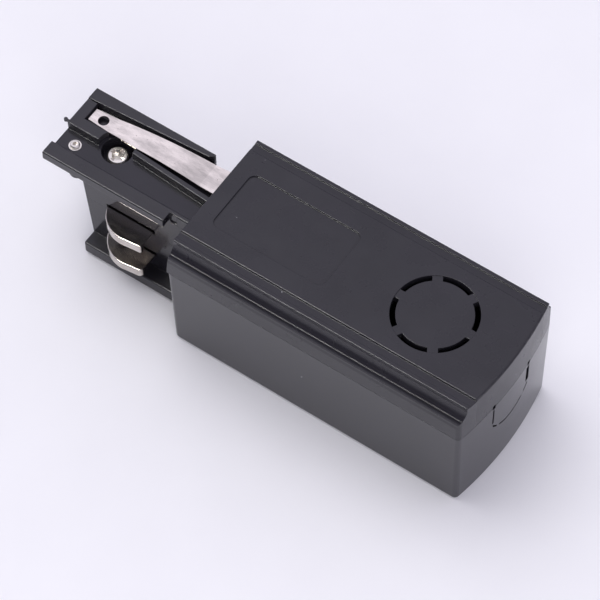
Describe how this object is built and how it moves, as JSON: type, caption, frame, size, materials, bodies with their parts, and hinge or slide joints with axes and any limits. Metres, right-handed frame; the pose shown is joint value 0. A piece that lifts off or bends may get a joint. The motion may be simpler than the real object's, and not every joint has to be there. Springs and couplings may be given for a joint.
{
  "type": "lighting track feed connector",
  "caption": "Live-end feed connector for a four-wire lighting track: boxy wiring housing with knock-outs and a stepped nose that carries side contacts and an earth spring.",
  "frame": {"origin": "bottom centre of the whole connector, on the face it rests on", "axes": "+X from the nose towards the cable end, +Z towards the ceiling side, +Y to the side of the raised bar"},
  "size_m": [0.1178, 0.036, 0.0366],
  "materials": {
    "housing_plastic": "glossy black moulding",
    "cover_plastic": "satin black moulding, fine grain on the bands",
    "insert_plastic": "black moulding, grained rims",
    "nickel_contact": "nickel-plated brass",
    "spring_steel": "polished spring steel",
    "nickel_screw": "nickel-plated steel",
    "zinc_screw": "zinc-plated steel",
    "clamp_brass": "plain brass",
    "terminal_plastic": "grey insulating moulding"
  },
  "bodies": {
    "root": {"housing_base": "housing_plastic", "insert_upper": "insert_plastic", "insert_lower": "insert_plastic", "insert_screw": "nickel_screw", "lock_insert": "nickel_screw", "terminal_block": "terminal_plastic", "insert_fixing_screws": "zinc_screw", "block_fixing_screws": "zinc_screw"},
    "cover": {"top_cover": "cover_plastic"},
    "lock_screw": {"lock_set_screw": "nickel_screw"},
    "saddle": {"cable_saddle": "terminal_plastic", "saddle_screws": "zinc_screw"},
    "earth": {"earth_spring": "spring_steel", "clamp_earth": "clamp_brass"},
    "earth_screw": {"terminal_screw_earth": "zinc_screw"},
    "contact_near_upper": {"contact_near_upper": "nickel_contact", "clamp_near_upper": "clamp_brass"},
    "screw_near_upper": {"terminal_screw_near_upper": "zinc_screw"},
    "contact_near_lower": {"contact_near_lower": "nickel_contact", "clamp_near_lower": "clamp_brass"},
    "screw_near_lower": {"terminal_screw_near_lower": "zinc_screw"},
    "contact_far_upper": {"contact_far_upper": "nickel_contact", "clamp_far_upper": "clamp_brass"},
    "screw_far_upper": {"terminal_screw_far_upper": "zinc_screw"},
    "contact_far_lower": {"contact_far_lower": "nickel_contact", "clamp_far_lower": "clamp_brass"},
    "screw_far_lower": {"terminal_screw_far_lower": "zinc_screw"}
  },
  "joints": [
    {"name": "cover_lift", "type": "slide", "parent": "root", "child": "cover", "axis": [0, 0, 1], "range_m": [0, 0.03]},
    {"name": "lock_screw_drive", "type": "slide", "parent": "root", "child": "lock_screw", "axis": [0, 0, -1], "range_m": [0, 0.0015]},
    {"name": "saddle_clamp", "type": "slide", "parent": "root", "child": "saddle", "axis": [0, 0, -1], "range_m": [0, 0.004]},
    {"name": "earth_flex", "type": "hinge", "parent": "root", "child": "earth", "pos_m": [0.0012, 0.0113, 0.0144], "axis": [0, -1, 0], "range_deg": [0, 0.75], "stiffness_Nm_per_rad": 3},
    {"name": "earth_screw_drive", "type": "slide", "parent": "earth", "child": "earth_screw", "axis": [0, 0, -1], "range_m": [0, 0.0015]},
    {"name": "contact_near_upper_flex", "type": "hinge", "parent": "root", "child": "contact_near_upper", "pos_m": [0.0012, -0.004, 0.0158], "axis": [0, 0, -1], "range_deg": [0, 1.2], "stiffness_Nm_per_rad": 3},
    {"name": "screw_near_upper_drive", "type": "slide", "parent": "contact_near_upper", "child": "screw_near_upper", "axis": [0, 0, -1], "range_m": [0, 0.0015]},
    {"name": "contact_near_lower_flex", "type": "hinge", "parent": "root", "child": "contact_near_lower", "pos_m": [0.0122, -0.004, 0.007], "axis": [0, 0, -1], "range_deg": [0, 0.9], "stiffness_Nm_per_rad": 3},
    {"name": "screw_near_lower_drive", "type": "slide", "parent": "contact_near_lower", "child": "screw_near_lower", "axis": [0, 0, -1], "range_m": [0, 0.0015]},
    {"name": "contact_far_upper_flex", "type": "hinge", "parent": "root", "child": "contact_far_upper", "pos_m": [0.0012, 0.004, 0.0158], "axis": [0, 0, 1], "range_deg": [0, 1.2], "stiffness_Nm_per_rad": 3},
    {"name": "screw_far_upper_drive", "type": "slide", "parent": "contact_far_upper", "child": "screw_far_upper", "axis": [0, 0, -1], "range_m": [0, 0.0015]},
    {"name": "contact_far_lower_flex", "type": "hinge", "parent": "root", "child": "contact_far_lower", "pos_m": [0.0122, 0.004, 0.007], "axis": [0, 0, 1], "range_deg": [0, 0.9], "stiffness_Nm_per_rad": 3},
    {"name": "screw_far_lower_drive", "type": "slide", "parent": "contact_far_lower", "child": "screw_far_lower", "axis": [0, 0, -1], "range_m": [0, 0.0015]}
  ]
}
